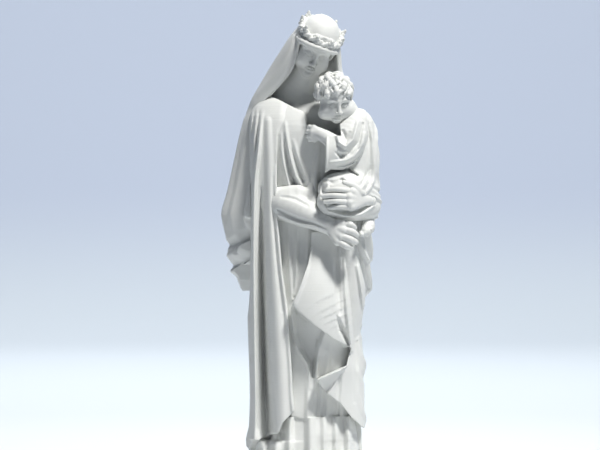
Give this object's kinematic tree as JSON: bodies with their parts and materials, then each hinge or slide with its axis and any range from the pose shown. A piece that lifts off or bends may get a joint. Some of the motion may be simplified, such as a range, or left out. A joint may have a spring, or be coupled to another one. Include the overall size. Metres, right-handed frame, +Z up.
{
  "type": "virgin and child statue",
  "caption": "Printed white plastic statuette of a crowned, veiled mother standing with a curly-haired child on her arm, on a low rounded base.",
  "frame": {"origin": "centre of the base's underside", "axes": "+Z up to the crown, -Y out of the figure's front, +X to the viewer's right as the figure is faced"},
  "size_m": [0.0688, 0.0555, 0.2],
  "materials": {
    "white_print": "matt white printed plastic with faint level layer lines"
  },
  "bodies": {
    "root": {"virgin_and_child_statue": "white_print"}
  },
  "joints": []
}
